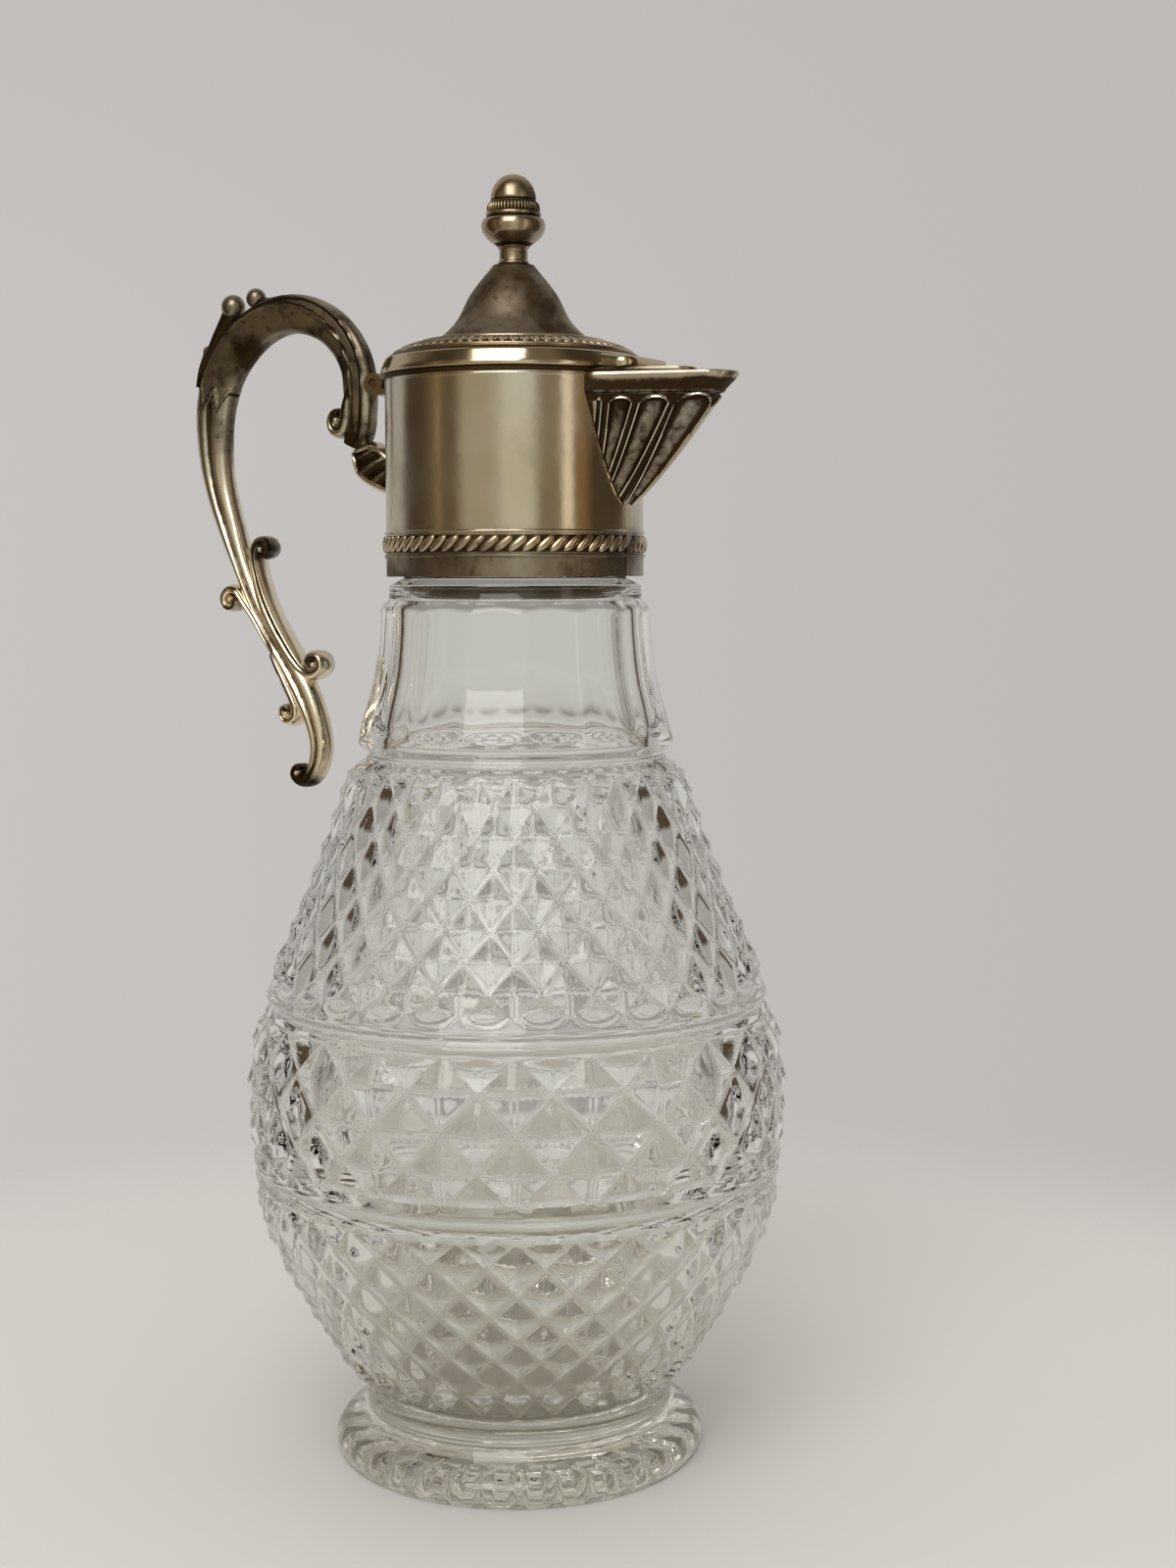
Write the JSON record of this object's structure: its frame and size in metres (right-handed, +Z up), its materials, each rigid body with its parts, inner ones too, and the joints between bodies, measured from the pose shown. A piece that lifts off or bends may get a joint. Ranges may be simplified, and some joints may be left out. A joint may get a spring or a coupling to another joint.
{
  "type": "lidded serving jug",
  "caption": "Diamond-cut glass jug with a plated mount, fluted beak spout, scroll handle and a hinged domed lid with an acorn finial.",
  "frame": {"origin": "centre of the foot's underside, on the glass body's axis", "axes": "+Z up along the glass body's axis, +X towards the spout, -X towards the hinge and handle"},
  "size_m": [0.1519, 0.124, 0.29],
  "materials": {
    "glass": "clear cut glass with a faint green-grey cast",
    "plaster": "dry white plaster, cast round the glass stem",
    "silver_plate": "aged silver plate, dulled and browned in its recesses"
  },
  "bodies": {
    "jug": {"glass_body": "glass", "plaster_bedding": "plaster", "neck_mount": "silver_plate", "lower_wire": "silver_plate", "upper_wire": "silver_plate", "rope_band": "silver_plate", "spout": "silver_plate", "spout_lip": "silver_plate", "hinge_leaf": "silver_plate", "hinge_pin": "silver_plate", "handle": "silver_plate"},
    "lid": {"lid_plate": "silver_plate", "lid_shell": "silver_plate", "lid_border": "silver_plate", "lid_knuckle": "silver_plate", "finial": "silver_plate", "finial_washer": "silver_plate", "finial_nut": "silver_plate"}
  },
  "joints": [
    {"name": "lid_hinge", "type": "hinge", "parent": "jug", "child": "lid", "pos_m": [-0.034, 0, 0.245], "axis": [0, -1, 0], "range_deg": [0, 80]}
  ]
}
